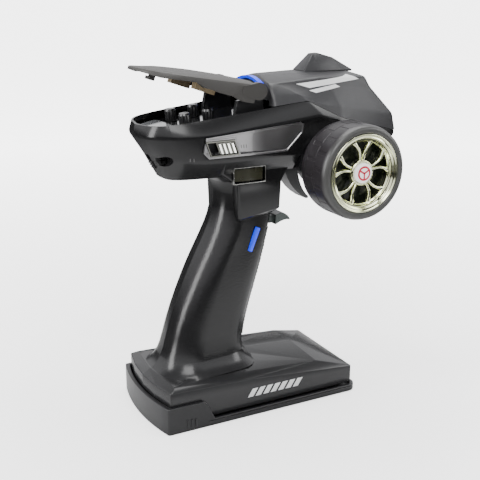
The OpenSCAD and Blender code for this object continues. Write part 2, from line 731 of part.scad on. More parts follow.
// The hook in front of the grip keeps the middle finger off the trigger
module finger_rest_root(grow) {
  translate([11, -4 - grow, head_z - 33.6 - grow]) cube([8.8, 8 + 2 * grow, 4.2 + 2 * grow]);
}
module finger_rest() {
  color([0.25, 0.28, 0.27])
    union() {
      finger_rest_root(0);
      translate([0, 0, head_z])
        rotate([90, 0, 0])
          linear_extrude(13, center = true)
            polygon(concat(
              [[19.4, -28.9], [22.8, -27.8]],
              [for (a = [0:5]) bez([22.8, -27.8], [27, -28.2], [28.8, -32.2], a / 5)],
              [for (a = [0:4]) bez([28.2, -32.4], [25.4, -31.2], [19.4, -34.2], a / 4)]));
    }
}

// A strip of soft rubber down the front of the grip, let into both shells
module strip_band() {
  rotate([90, 0, 0])
    linear_extrude(2 * (grip_hw - 7), center = true)
      polygon([[grip_front(0.14) - 9, 24 + 0.14 * grip_rise], [grip_front(0.14) + 6, 24 + 0.14 * grip_rise],
        [grip_front(0.38) + 6, 24 + 0.38 * grip_rise], [grip_front(0.68) + 6, 24 + 0.68 * grip_rise],
        [grip_front(0.68) - 9, 24 + 0.68 * grip_rise], [grip_front(0.38) - 9, 24 + 0.38 * grip_rise]]);
}
function grip_front(f) = lookup(f, [for (s = grip_stations) [s[0], s[2]]]);
module front_grip_groove() {
  difference() {
    strip_band();
    grip_solid(1.1);
  }
}
module front_grip() {
  color([0.07, 0.07, 0.075])
    difference() {
      intersection() {
        grip_solid(-0.4);
        scale([1, 0.985, 1]) strip_band();
      }
      grip_solid(1.05);
    }
}

module case_screw(tip) {
  difference() {
    union() {
      translate([0, 0, tip]) cylinder(r = screw_r, h = boss_y + 4 - tip);
      translate([0, 0, boss_y + 4]) cylinder(r = 2.4, h = 1.8);
    }
    translate([0, 0, boss_y + 5]) {
      cube([3, 0.6, 3], center = true);
      cube([0.6, 3, 3], center = true);
    }
  }
}
module case_screws() {
  color([0.35, 0.35, 0.37]) {
    for (p = right_spots) at_spot(p) case_screw(boss_y + 1);
    for (p = left_spots) mirror([0, 1, 0]) at_spot(p) case_screw(-8);
  }
}

// ---------------------------------------------------------------- steering
module at_wheel(y = 0) { translate([wheel_x, -y, wheel_z]) rotate([90, 0, 0]) children(); }
bush_r = 4.4;
bush_l = 5;
pot_r = 7.5;
pot_t = 5.6;
housing_l = housing_out - housing_in;

module steering_housing() {
  color([0.1, 0.1, 0.105])
    at_wheel(housing_in)
      difference() {
        rotate_extrude($fn = 96)
          polygon([[bush_r, 0], [bush_r + 3.6, 0], [bush_r + 3.6, 2.4], [housing_waist, 4.4], [housing_waist, housing_l - 8],
            [housing_r, housing_l - 2], [housing_r, housing_l], [bush_r, housing_l]]);
        rotate_extrude($fn = 96)
          polygon([[bush_r + 2, housing_l - 4], [bush_r + 2, housing_l + 1], [housing_r - 3, housing_l + 1], [housing_r - 3, housing_l - 4]]);
        translate([0, 0, bush_l + 1]) cylinder(r = pot_r + 0.3, h = pot_t + 0.6, $fn = 64);
      }
}

module steering_bushes() {
  color([0.75, 0.6, 0.3])
    for (y = [housing_in, housing_out - bush_l])
      at_wheel(y)
        difference() {
          cylinder(r = bush_r, h = bush_l);
          translate([0, 0, -1]) cylinder(r = shaft_r + run, h = bush_l + 2);
        }
}

module steering_shaft() {
  color([0.7, 0.7, 0.72]) at_wheel(housing_in) cylinder(r = shaft_r, h = tyre_face - 3.5 - housing_in);
}

// The shaft passes through the potentiometer, between its two bushes
module steering_pot() {
  color([0.4, 0.42, 0.44])
    at_wheel(housing_in + bush_l + 1.3)
      difference() {
        cylinder(r = pot_r, h = pot_t);
        translate([0, 0, -1]) cylinder(r = shaft_r + run, h = pot_t + 2);
      }
}

// The coils of the return spring lie in the ring-shaped groove behind the wheel
module steering_spring() {
  color([0.65, 0.66, 0.68])
    for (i = [0:1])
      at_wheel(housing_out - 3.3 + i * 1.5)
        rotate_extrude($fn = 64) translate([bush_r + 4.2, 0]) circle(r = 0.6, $fn = 16);
}

module wheel_hub() {
  color([0.2, 0.2, 0.21])
    at_wheel(tyre_back + 1)
      difference() {
        union() {
          cylinder(r = 5.4, h = tyre_w - 5.5);
          cylinder(r = 7.4, h = 2.4);
        }
        translate([0, 0, -1]) cylinder(r = shaft_r, h = tyre_w);
      }
}

rim_wall = 1.5;
rim_face = tyre_face - 0.2;
module wheel_rim() {
  color([0.8, 0.8, 0.62])
    at_wheel()
      union() {
        rotate_extrude($fn = 96)
          polygon([[rim_r - 0.1, tyre_back + 1.4], [rim_r - 0.1, rim_face - 1.6], [rim_r, rim_face], [rim_r - 1.4, rim_face],
            [rim_r - 2, rim_face - 1], [rim_r - 3, rim_face - 1.1], [rim_r - 3.3, rim_face - 2.4], [rim_r - 4.4, rim_face - 2.6],
            [rim_r - 4.4, rim_face - 4.4], [rim_r - 0.1 - rim_wall, rim_face - 4.6], [rim_r - 0.1 - rim_wall, tyre_back + 1.4]]);
        translate([0, 0, rim_face - 5])
          for (i = [0:spoke_n - 1]) rotate([0, 0, 90 + i * 360 / spoke_n])
            for (s = [-1, 1]) rotate([0, 0, s * 11])
              translate([5.6, -0.75, 0]) cube([rim_r - 5.6 - 3.9, 1.5, 2.6]);
        translate([0, 0, rim_face - 5.2])
          difference() {
            cylinder(r = 6.6, h = 3.2);
            translate([0, 0, -1]) cylinder(r = 5.4, h = 3.0);
            translate([0, 0, 2.4]) cylinder(r = 5.15, h = 2);
          }
      }
}

module wheel_backing() {
  color([0.05, 0.06, 0.05])
    at_wheel(rim_face - 10)
      difference() {
        cylinder(r = rim_r - 0.3 - rim_wall, h = 1.4);
        translate([0, 0, -1]) cylinder(r = 5.5, h = 4);
      }
}

module wheel_cap() {
  color([0.93, 0.93, 0.9])
    at_wheel(rim_face - 2.8)
      rotate_extrude($fn = 64) polygon([[0, 0], [5.05, 0], [5.05, 1], [4.5, 1.6], [0, 2.1]]);
}

module wheel_tyre() {
  color([0.06, 0.06, 0.065])
    at_wheel()
      difference() {
        rotate_extrude($fn = 96)
          polygon([[rim_r + 0.05, tyre_back], [tyre_r - 3.4, tyre_back], [tyre_r - 2.1, tyre_back + 1], [tyre_r - 0.9, tyre_back + 3.2],
            [tyre_r - 0.2, tyre_back + 6], [tyre_r, tyre_back + 9],
            [tyre_r, tyre_face - 4], [tyre_r - 0.5, tyre_face - 2],
            [tyre_r - 1.3, tyre_face - 0.6], [tyre_r - 2.2, tyre_face], [rim_r + 0.6, tyre_face], [rim_r + 0.05, tyre_face - 0.6]]);
        for (i = [0:17]) rotate([0, 0, 20 * i]) {
          translate([tyre_r - 0.8, -1, tyre_back + 5]) cube([3, 2, 6.4]);
          rotate([0, 0, 10]) translate([tyre_r - 0.7, -1, tyre_face - 12.4]) cube([3, 2, 7.4]);
        }
      }
}

// ---------------------------------------------------------------- trigger
module at_trigger() { translate([trigger_x, 0, trigger_z]) rotate([90, 0, 0]) children(); }

// Side view of the blade, about the pivot: a crescent that is hollow in front
blade = concat(
  [[-3, -4]],
  [for (a = [0:6]) bez([-3.4, -7], [-1.8, -21], [11.2, -28.8], a / 6)],
  [[12.6, -28.6], [12.8, -27.6]],
  [for (a = [6:-1:0]) bez([5.4, -6.6], [5, -19], [11.4, -26.4], a / 6)],
  [[4.4, -2]]);

module trigger() {
  color([0.1, 0.1, 0.105])
    at_trigger()
      difference() {
        union() {
          linear_extrude(trigger_w, center = true) polygon(blade);
          cylinder(r = 4.4, h = trigger_w, center = true);
        }
        cylinder(r = trigger_pin_r + run, h = trigger_w + 2, center = true);
        linear_extrude(trigger_w - 4, center = true) translate([1.6, 0]) polygon([for (p = blade) if (p.y < -8) p]);
      }
}

bracket_t = 2;
module trigger_bracket() {
  color([0.12, 0.12, 0.125])
    difference() {
      union() {
        for (s = [-1, 1])
          translate([trigger_x - 6, s * (trigger_hw + 0.4 + bracket_t / 2) - bracket_t / 2, trigger_z - 3.8]) cube([12, bracket_t, 10.8]);
        translate([trigger_x - 6, -(trigger_hw + 0.4 + bracket_t), trigger_z + 7]) cube([12, trigger_w + 0.8 + 2 * bracket_t, 1.8]);
      }
      at_trigger() cylinder(r = trigger_pin_r, h = 40, center = true);
    }
}

module trigger_pin() {
  color([0.65, 0.66, 0.68]) at_trigger() cylinder(r = trigger_pin_r, h = trigger_w + 0.8 + 2 * bracket_t, center = true);
}

module trigger_pot() {
  color([0.4, 0.42, 0.44])
    mirror([0, 1, 0])
      at_trigger() translate([0, 0, trigger_hw + 0.5 + bracket_t]) {
        cylinder(r = 6, h = 5);
        translate([-5, 3, 1]) cube([10, 7, 1.2]);
      }
}

module trigger_spring() {
  color([0.65, 0.66, 0.68])
    for (i = [0:1])
      at_trigger() translate([0, 0, trigger_hw + 3.4 + i * 1.4])
        rotate_extrude($fn = 48) translate([2.9, 0]) circle(r = 0.5, $fn = 16);
}

// ---------------------------------------------------------------- head electronics
module main_board() {
  color([0.05, 0.25, 0.12])
    translate([-12, -20, head_z + 12]) difference() {
      cube([26, 40, 1.6]);
      for (x = [3, 23], y = [3, 37]) translate([x, y, -1]) cylinder(r = 1.1, h = 4);
    }
}

module speaker() {
  color([0.1, 0.1, 0.1])
    translate([-30, 0, head_z + 8]) difference() {
      cylinder(r = 6, h = 5);
      translate([0, 0, 4]) cylinder(r = 1.2, h = 2);
    }
}

// A sleeve antenna stands in the fin with its lead down to the main board
module rf_antenna() {
  color([0.55, 0.55, 0.5])
    translate([44, 0, head_z + hood_h - 8]) {
      cylinder(r = 0.6, h = 11);
      cylinder(r = 1.5, h = 5);
    }
}

// ---------------------------------------------------------------- base: cells, tray, cover
cell_d = 14.2;
cell_l = 50.2;
cell_pitch = 14.6;
cell_n = 4;
tray_wall = 1.2;
bay_x0 = -2 * cell_pitch + 2;
cell_z = cover_side_h + 0.2 + cell_d / 2;
tray_hy = shell_hw - wall - 0.2;
module cell_row() { for (i = [0:cell_n - 1]) translate([bay_x0 + (i + 0.5) * cell_pitch, 0, cell_z]) children(); }

module battery_tray() {
  color([0.11, 0.11, 0.115])
    difference() {
      intersection() {
        base_solid(wall + 0.2);
        translate([bay_x0 - tray_wall, -tray_hy, cover_side_h + 0.6])
          cube([cell_n * cell_pitch + 2 * tray_wall, 2 * tray_hy, cell_z + cell_d / 2 + 1 - cover_side_h - 0.6]);
      }
      cell_row() rotate([90, 0, 0]) cylinder(r = cell_d / 2 + 0.15, h = cell_l + 3.2, center = true);
      translate([bay_x0 + 0.1, -(cell_l + 3.2) / 2, 0]) cube([cell_n * cell_pitch - 0.2, cell_l + 3.2, cell_z]);
      translate([bay_x0 + 6, -4, cell_z]) cube([8, 8, 20]);
    }
}

module battery_cells() {
  color([0.2, 0.45, 0.25])
    cell_row()
      rotate([90, 0, 0]) {
        cylinder(r = cell_d / 2, h = cell_l - 1.4, center = true);
        translate([0, 0, -cell_l / 2]) cylinder(r = 2.3, h = cell_l);
      }
}

module battery_contacts() {
  color([0.75, 0.75, 0.7])
    for (s = [-1, 1])
      for (i = [0:1])
        translate([bay_x0 + (2 * i + 1) * cell_pitch, s * ((cell_l + 3.2) / 2 - 0.25), cell_z - 2.3])
          cube([2 * cell_pitch - 4, 0.4, 4.4], center = true);
}

module battery_springs() {
  color([0.7, 0.7, 0.72])
    for (i = [0:cell_n - 1])
      translate([bay_x0 + (i + 0.5) * cell_pitch, 0, cell_z])
        mirror([0, i % 2, 0])
          translate([0, (cell_l - 1.4) / 2 + 0.1, 0]) rotate([-90, 0, 0])
            for (k = [0:1]) translate([0, 0, 0.45 + k * 0.85]) rotate_extrude($fn = 40) translate([3 + k, 0]) circle(r = 0.4, $fn = 14);
}

// The lead from the tray up the grip to the main board
module grip_lead() {
  color([0.5, 0.05, 0.05])
    translate([-22, 0, 30])
      for (s = [-1, 1]) translate([0, s * 1.3, 0]) rotate([0, 16.5, 0]) cylinder(r = 0.9, h = 86);
}

// Battery cover: a tray with low sides and a tall rear end cap that slides off to the rear
cover_r = 5;
cap_l = 20.5;
cover_ramp = 6.5;

function corner_arc(c, r, a0, a1, n = 5) = [for (i = [0:n]) let (a = a0 + (a1 - a0) * i / n) [c.x + r * cos(a), c.y + r * sin(a)]];
function cover_outline(t) =
  let (hl = half_l - t, hw = base_w / 2 - t, b = rear_bulge, r = max(cover_r - t, 1), n = 10)
  concat(
    corner_arc([hl - r + 2.4, hw - r], r, 0, 90), corner_arc([1.4 - hl, hw - 1.4], 1.4, 90, 160, 3),
    [for (i = [1:n - 1]) let (y = 1 - 2 * i / n) [-hl - b * (1 - y * y), y * (hw - 1)]],
    corner_arc([1.4 - hl, 1.4 - hw], 1.4, 200, 270, 3), corner_arc([hl - r + 2.4, r - hw], r, -90, 0));

module battery_cover() {
  hx = -half_l;
  color([0.1, 0.1, 0.105])
    intersection() {
      difference() {
        linear_extrude(cap_h) polygon(cover_outline(0));
        translate([0, 0, cover_wall]) linear_extrude(cap_h) polygon(cover_outline(cover_wall));
      }
      rotate([90, 0, 0])
        linear_extrude(2 * base_w, center = true)
          polygon([[hx - 20, 0], [half_l + 10, 0], [half_l + 10, cover_side_h], [hx + cap_l + cover_ramp, cover_side_h],
            [hx + cap_l + 2, cap_h - 2], [hx + cap_l, cap_h], [hx - 20, cap_h]]);
    }
}

right_shell();
left_shell();
hood();
antenna_fin();
hood_light();
control_panel();
panel_window();
hinge_brackets();
right_side_trim();
left_side_trim();
switch_bezel();
button_bezel();
right_grip_light();
left_grip_light();
finger_rest();
front_grip();
case_screws();
steering_housing();
steering_bushes();
steering_pot();
steering_spring();
trigger_bracket();
trigger_pin();
trigger_pot();
trigger_spring();
panel_board();
panel_pots();
main_board();
side_switch_body();
button_switch_body();
power_switch_body();
speaker();
rf_antenna();
battery_tray();
battery_cells();
battery_contacts();
battery_springs();
grip_lead();
battery_cover();
wheel_tyre();
wheel_rim();
wheel_backing();
wheel_cap();
wheel_hub();
steering_shaft();
trigger();
lid();
lid_pins();
lid_latch();
lid_rest();
knob_1();
knob_2();
knob_3();
knob_4();
side_slider();
rocker_button();
power_slider();
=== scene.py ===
"""Looks of the pistol-grip radio transmitter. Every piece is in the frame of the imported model, in metres."""

import json
import math

import bmesh
import bpy
from mathutils import Matrix, Vector


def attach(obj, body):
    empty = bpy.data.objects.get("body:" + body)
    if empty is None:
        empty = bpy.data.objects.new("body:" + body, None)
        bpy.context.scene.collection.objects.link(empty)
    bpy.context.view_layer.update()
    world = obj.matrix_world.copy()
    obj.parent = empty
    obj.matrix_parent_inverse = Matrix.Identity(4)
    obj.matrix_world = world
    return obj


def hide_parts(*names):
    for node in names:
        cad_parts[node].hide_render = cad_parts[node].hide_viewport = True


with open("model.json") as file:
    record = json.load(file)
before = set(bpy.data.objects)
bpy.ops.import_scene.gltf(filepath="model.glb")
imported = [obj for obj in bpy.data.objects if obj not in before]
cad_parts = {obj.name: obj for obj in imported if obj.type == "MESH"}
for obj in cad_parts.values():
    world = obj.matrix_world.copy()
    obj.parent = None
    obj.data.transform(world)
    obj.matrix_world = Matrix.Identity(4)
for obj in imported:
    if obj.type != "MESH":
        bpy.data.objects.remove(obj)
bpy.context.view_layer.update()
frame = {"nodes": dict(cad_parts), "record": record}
NODES = frame["nodes"]
BODY_OF = {n: b for b, ns in frame["record"]["behaviour"]["bodies"].items() for n in ns}
SLOT_OF = {s["node"]: s["material_slot"] for s in frame["record"]["subparts"]}
MM = 0.001

# The finish that all plastics and metals share: a mottle and a wear pattern, sizes in millimetres
MOTTLE_SIZE = 9.0
MOTTLE_GAIN, MOTTLE_LIFT = 1.08, 0.0005
WEAR_SIZE = 5.0
COAT_ROUGHNESS = 0.08
LEATHER_FADE = 8
PRINT_WHITE = (0.8, 0.8, 0.8)


# ---------------------------------------------------------------- materials
def link(nt, a, b):
    nt.links.new(a, b)


def math_node(nt, op, a, b=None, clamp=False):
    n = nt.nodes.new("ShaderNodeMath")
    n.operation = op
    n.use_clamp = clamp
    for i, v in enumerate((a, b)):
        if v is None:
            continue
        if isinstance(v, (int, float)):
            n.inputs[i].default_value = v
        else:
            link(nt, v, n.inputs[i])
    return n.outputs[0]


def noise(nt, size, detail=3.0):
    """A noise whose grains are size millimetres across, in object coordinates."""
    tc = nt.nodes.new("ShaderNodeTexCoord")
    n = nt.nodes.new("ShaderNodeTexNoise")
    n.inputs["Scale"].default_value = 1.0 / (size * MM)
    n.inputs["Detail"].default_value = detail
    link(nt, tc.outputs["Object"], n.inputs["Vector"])
    return n.outputs["Fac"]


def ramp(nt, fac, low, high, a=0.35, b=0.65):
    m = nt.nodes.new("ShaderNodeMapRange")
    m.inputs["From Min"].default_value = a
    m.inputs["From Max"].default_value = b
    m.inputs["To Min"].default_value = low
    m.inputs["To Max"].default_value = high
    link(nt, fac, m.inputs["Value"])
    return m.outputs["Result"]


def tint(nt, fac, one, two):
    m = nt.nodes.new("ShaderNodeMix")
    m.data_type = "RGBA"
    m.inputs[6].default_value = (*one, 1)
    m.inputs[7].default_value = (*two, 1)
    link(nt, fac, m.inputs[0])
    return m.outputs[2]


def material(name, color, rough, metallic=0.0, coat=0.0, grain=0.6, depth=0.02, glow=0.0, spec=0.5):
    """Plastic or metal with a fine grain, a slow change of roughness and a faint mottle."""
    m = bpy.data.materials.new(name)
    m.use_nodes = True
    nt = m.node_tree
    s = nt.nodes["Principled BSDF"]
    s.inputs["Metallic"].default_value = metallic
    s.inputs["Specular IOR Level"].default_value = spec
    s.inputs["Coat Weight"].default_value = coat
    s.inputs["Coat Roughness"].default_value = COAT_ROUGHNESS
    shade = tuple(min(1.0, c * MOTTLE_GAIN + MOTTLE_LIFT) for c in color)
    mottle = ramp(nt, noise(nt, MOTTLE_SIZE), 0, 1)
    link(nt, tint(nt, mottle, color, shade), s.inputs["Base Color"])
    wear = ramp(nt, noise(nt, WEAR_SIZE, 5), rough * 0.96, min(1.0, rough * 1.04))
    link(nt, wear, s.inputs["Roughness"])
    # Emission: the blue lights' own glow, and on the white cap a painted light
    if glow:
        s.inputs["Emission Color"].default_value = (*color, 1)
        s.inputs["Emission Strength"].default_value = glow
    bump = nt.nodes.new("ShaderNodeBump")
    bump.inputs["Strength"].default_value = 1.0
    bump.inputs["Distance"].default_value = depth * MM
    link(nt, noise(nt, grain, 2), bump.inputs["Height"])
    link(nt, bump.outputs["Normal"], s.inputs["Normal"])
    return m


def object_parts(nt):
    """The X, Y and Z of a point on the piece, in metres."""
    tc = nt.nodes.new("ShaderNodeTexCoord")
    sep = nt.nodes.new("ShaderNodeSeparateXYZ")
    link(nt, tc.outputs["Object"], sep.inputs[0])
    return sep.outputs


def print_mask(nt, outline):
    """1 inside a convex outline of (x, z) points in millimetres, on the right side of the object."""
    place = object_parts(nt)
    inside = math_node(nt, "LESS_THAN", place["Y"], 0.0)
    for (x0, z0), (x1, z1) in zip(outline, outline[1:] + outline[:1]):
        a, b = -(z1 - z0), (x1 - x0)
        c = -(a * x0 + b * z0) * MM
        along_x = math_node(nt, "MULTIPLY", place["X"], a)
        along_z = math_node(nt, "MULTIPLY", place["Z"], b)
        edge = math_node(nt, "ADD", math_node(nt, "ADD", along_x, along_z), c)
        inside = math_node(nt, "MULTIPLY", inside, math_node(nt, "GREATER_THAN", edge, 0.0))
    return inside


def recolor(nt, s, amount, color):
    """Mixes a colour over the base colour that a shader already has."""
    mix = nt.nodes.new("ShaderNodeMix")
    mix.data_type = "RGBA"
    link(nt, amount, mix.inputs[0])
    link(nt, s.inputs["Base Color"].links[0].from_socket, mix.inputs[6])
    mix.inputs[7].default_value = (*color, 1)
    link(nt, mix.outputs[2], s.inputs["Base Color"])


def paint(m, outlines, color, rough):
    """Prints flat marks on a material, on the right side of the object."""
    nt = m.node_tree
    s = nt.nodes["Principled BSDF"]
    total = None
    for outline in outlines:
        mark = print_mask(nt, outline)
        total = mark if total is None else math_node(nt, "ADD", total, mark, clamp=True)
    recolor(nt, s, total, color)
    gloss = nt.nodes.new("ShaderNodeMix")
    link(nt, total, gloss.inputs[0])
    link(nt, s.inputs["Roughness"].links[0].from_socket, gloss.inputs[2])
    gloss.inputs[3].default_value = rough
    link(nt, gloss.outputs[0], s.inputs["Roughness"])


def paint_light_along(m, axis, start, end, color):
    """Paints light into a material's colour along one axis, from start to end in millimetres."""
    nt = m.node_tree
    near = ramp(nt, object_parts(nt)[axis], 0, 1, start * MM, end * MM)
    recolor(nt, nt.nodes["Principled BSDF"], near, color)


def leather(m, low, high, size, depth):
    """A pebbled grain between two heights, fading out at both ends."""
    nt = m.node_tree
    s = nt.nodes["Principled BSDF"]
    tc = nt.nodes.new("ShaderNodeTexCoord")
    sep = nt.nodes.new("ShaderNodeSeparateXYZ")
    link(nt, tc.outputs["Object"], sep.inputs[0])
    up = ramp(nt, sep.outputs["Z"], 0, 1, low * MM, (low + LEATHER_FADE) * MM)
    down = ramp(nt, sep.outputs["Z"], 1, 0, (high - LEATHER_FADE) * MM, high * MM)
    pebbles = nt.nodes.new("ShaderNodeTexVoronoi")
    pebbles.inputs["Scale"].default_value = 1.0 / (size * MM)
    link(nt, tc.outputs["Object"], pebbles.inputs["Vector"])
    fade = math_node(nt, "MULTIPLY", up, down)
    height = math_node(nt, "MULTIPLY", fade, pebbles.outputs["Distance"])
    bump = nt.nodes.new("ShaderNodeBump")
    bump.inputs["Distance"].default_value = depth * MM
    link(nt, height, bump.inputs["Height"])
    link(nt, s.inputs["Normal"].links[0].from_socket, bump.inputs["Normal"])
    link(nt, bump.outputs["Normal"], s.inputs["Normal"])


BLACK = material("body_black", (0.008, 0.008, 0.0085), 0.22, grain=0.5, depth=0.003, spec=0.45)
HOOD = material("hood_grey", (0.022, 0.022, 0.024), 0.4, grain=0.45, depth=0.02, spec=0.45)
LID = material("lid_grey", (0.042, 0.040, 0.037), 0.46, grain=0.45, depth=0.02)
PANEL = material("panel_black", (0.008, 0.008, 0.009), 0.1, coat=0.8, grain=2.5, depth=0.004)
TRIM = material("trim_graphite", (0.30, 0.295, 0.30), 0.3, metallic=0.9, coat=0.8, grain=6.0, depth=0.001)
# The window's light grey colour is a painted reflection
WINDOW_PAINTED_REFLECTION = material("panel_window", (0.30, 0.31, 0.32), 0.12, coat=0.8, grain=2.0, depth=0.004)
BLUE = material("light_blue", (0.01, 0.05, 0.90), 0.2, grain=2.0, depth=0.004, glow=0.45)
CHROME = material("chrome_trim", (0.82, 0.82, 0.78), 0.09, metallic=1.0, grain=3.0, depth=0.003)
RIM = material("wheel_chrome", (0.80, 0.82, 0.58), 0.07, metallic=1.0, grain=4.0, depth=0.004)
KNOB = material("knob_black", (0.012, 0.012, 0.013), 0.3, coat=0.5, grain=0.4, depth=0.015)
OLIVE = material("button_dark", (0.03, 0.03, 0.018), 0.12, coat=0.8, grain=2.0, depth=0.004)
RUBBER = material("grip_rubber", (0.02, 0.02, 0.021), 0.65, grain=0.8, depth=0.25)
HOOK = material("hook_grey", (0.06, 0.075, 0.07), 0.35, grain=0.5, depth=0.015)
TYRE = material("tyre_rubber", (0.014, 0.012, 0.014), 0.34, grain=0.5, depth=0.015)
BACKING = material("dark_backing", (0.012, 0.015, 0.01), 0.2, grain=1.0, depth=0.01)
# The white cap glows a little: painted light that brightens it, though it is no lamp
CAP_WITH_PAINTED_GLOW = material("cap_white", (0.93, 0.93, 0.92), 0.25, coat=0.4, grain=2.0, depth=0.004, glow=0.4)
RED = material("cap_red", (0.55, 0.02, 0.05), 0.3, grain=1.5, depth=0.004)
STEEL = material("steel", (0.55, 0.55, 0.57), 0.28, metallic=1.0, grain=0.3, depth=0.01)
BRASS = material("bush_brass", (0.6, 0.42, 0.16), 0.35, metallic=1.0, grain=0.3, depth=0.01)
GREY = material("pot_grey", (0.25, 0.26, 0.28), 0.5, grain=0.5, depth=0.02)
BOARD = material("board_green", (0.02, 0.14, 0.05), 0.35, grain=0.8, depth=0.02)
SWITCH = material("switch_black", (0.03, 0.03, 0.033), 0.45, grain=0.5, depth=0.02)
LEAD = material("antenna_lead", (0.3, 0.3, 0.27), 0.5, grain=0.4, depth=0.02)
WIRE = material("lead_red", (0.4, 0.02, 0.02), 0.45, grain=0.4, depth=0.02)
CELL = material("cell_green", (0.08, 0.3, 0.1), 0.3, coat=0.3, grain=1.0, depth=0.01)
COVER = material("cover_black", (0.009, 0.009, 0.010), 0.32, grain=0.5, depth=0.015)
SCREW = material("screw_black", (0.05, 0.05, 0.052), 0.35, metallic=1.0, grain=0.4, depth=0.02)
DARK_CHROME = material("dark_chrome", (0.10, 0.10, 0.09), 0.12, metallic=1.0, grain=3.0, depth=0.003)
TAN = material("rest_tan", (0.24, 0.18, 0.10), 0.45, grain=0.6, depth=0.02)

SLOT_MATERIAL = {
    "body_black": BLACK, "hood_grey": HOOD, "panel_black": PANEL, "window": WINDOW_PAINTED_REFLECTION, "light_blue": BLUE,
    "chrome_trim": CHROME, "wheel_chrome": RIM, "knob_black": KNOB, "button_dark": OLIVE, "grip_rubber": RUBBER,
    "hook_grey": HOOK, "tyre_rubber": TYRE, "dark_backing": BACKING, "cap_white": CAP_WITH_PAINTED_GLOW, "steel": STEEL,
    "bush_brass": BRASS, "pot_grey": GREY, "board_green": BOARD, "switch_black": SWITCH, "antenna_lead": LEAD,
    "lead_red": WIRE, "rest_tan": TAN, "cell_green": CELL, "tray_black": SWITCH, "cover_black": COVER,
}
NODE_MATERIAL = {
    "lid": LID, "lid_latch": LID, "right_side_trim": TRIM, "left_side_trim": TRIM, "case_screws": SCREW,
    "switch_bezel": DARK_CHROME,
}

# Marks printed on the right side, as (x, z) outlines in millimetres: tapered stripes on the hood, slanted
# bars on the base, and short ticks on both sides of the side switch
STRIPES = [
    [(23.0, 175.6), (30.0, 173.4), (62.0, 176.2), (58.0, 178.4)],
    [(29.0, 172.3), (33.0, 170.9), (49.0, 173.0), (46.0, 174.4)],
]
BARS = [
    [(x, 9.9), (x + 3.3, 9.9), (x + 6.3, 14.5), (x + 3.0, 14.5)]
    for x in (-9.6, -4.9, -0.2, 4.5, 9.2, 13.9, 18.6)
]


def ticks(z, places):
    return [[(x, z), (x + 0.35, z), (x + 0.1, z + 1.8), (x - 0.25, z + 1.8)] for x in places]


REAR_TICKS = ticks(141.2, (-38.6, -36.9))
TRIM_TICKS = ticks(146.6, (-12.6, -11.2, -9.8))

# Painted light: the moulding's colour is made lighter towards the foot of the base
paint_light_along(BLACK, "Z", 34.0, 20.0, (0.024, 0.024, 0.025))
paint(HOOD, STRIPES, PRINT_WHITE, 0.3)
paint(BLACK, BARS, PRINT_WHITE, 0.35)
paint(BLACK, REAR_TICKS, (0.10, 0.10, 0.10), 0.4)
paint(TRIM, TRIM_TICKS, (0.05, 0.05, 0.05), 0.3)
leather(BLACK, low=45, high=112, size=0.9, depth=0.05)
# Painted light: the tyre's colour is made lighter towards its outer face
paint_light_along(TYRE, "Y", -61.0, -63.4, (0.06, 0.06, 0.058))


# ---------------------------------------------------------------- helpers for pieces
MERGE = 0.004       # points closer than this are one point, in millimetres
FLAT_ANGLE = 0.5    # faces that meet at less than this are one face, in degrees


def finish_piece(name, bm, mat, body, nodes=(), bevel=0.0, sharp=40):
    """Makes the object, smooth up to the sharp angle, and sets it on its body in place of the CAD nodes."""
    me = bpy.data.meshes.new(name)
    for f in bm.faces:
        f.smooth = True
    limit = math.radians(sharp)
    for e in bm.edges:
        if len(e.link_faces) == 2 and e.calc_face_angle(0) > limit:
            e.smooth = False
    bm.to_mesh(me)
    bm.free()
    ob = bpy.data.objects.new(name, me)
    bpy.context.scene.collection.objects.link(ob)
    me.materials.append(mat)
    if bevel:
        b = ob.modifiers.new("soft_edges", "BEVEL")
        b.width = bevel * MM
        b.segments = 2
        b.limit_method = "ANGLE"
        b.angle_limit = limit
    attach(ob, body)
    if nodes:
        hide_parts(*nodes)
    return ob


def copy_of(node):
    """The CAD node's mesh, with its triangles merged into faces."""
    bm = bmesh.new()
    bm.from_mesh(NODES[node].data)
    bmesh.ops.remove_doubles(bm, verts=bm.verts, dist=MERGE * MM)
    bmesh.ops.dissolve_limit(bm, angle_limit=math.radians(FLAT_ANGLE), verts=bm.verts, edges=bm.edges)
    return bm


def finish_of(node):
    return NODE_MATERIAL.get(node) or SLOT_MATERIAL[SLOT_OF[node]]


def soften(node, bevel=0.0, sharp=40):
    """The CAD node with its corners softened and its curves shaded smooth."""
    finish_piece(node + "_look", copy_of(node), finish_of(node), BODY_OF[node], (node,), bevel=bevel, sharp=sharp)


def revolve(bm, profile, steps, closed=True):
    """Turns a profile of (radius, height) round Z."""
    vs = [bm.verts.new((r, 0, h)) for r, h in profile]
    es = [bm.edges.new(p) for p in zip(vs, vs[1:])]
    if closed:
        es.append(bm.edges.new((vs[-1], vs[0])))
    bmesh.ops.spin(bm, geom=vs + es, cent=(0, 0, 0), axis=(0, 0, 1), dvec=(0, 0, 0), angle=math.tau,
                   steps=steps, use_merge=True)
    bmesh.ops.remove_doubles(bm, verts=bm.verts, dist=0.001)
    bmesh.ops.recalc_face_normals(bm, faces=bm.faces)


def merge_into(bm, part):
    """Adds a part's mesh to bm and frees the part."""
    me = bpy.data.meshes.new("part")
    part.to_mesh(me)
    part.free()
    bm.from_mesh(me)
    bpy.data.meshes.remove(me)


# ---------------------------------------------------------------- the wheel
# The wheel is shaped in millimetres round Z, with its outer face up, and then laid on its axle
WHEEL_X, WHEEL_Z = 36.8, 135.8
TO_WHEEL = (Matrix.Scale(MM, 4) @ Matrix.Translation((WHEEL_X, 0, WHEEL_Z))
            @ Matrix.Rotation(math.radians(90), 4, "X"))
TYRE_STEPS = 144
TREAD_R = 23.7
TREAD_BACK, GROOVE_BACK, GROOVE_FRONT, TREAD_FRONT = 46.3, 53.0, 54.0, 60.3
PAD_EDGE, PAD_DEPTH = 0.14, 0.16
SPOKE_PAIRS = 5
BEADS, BEAD_R, BEAD_CIRCLE = 24, 0.38, 5.75


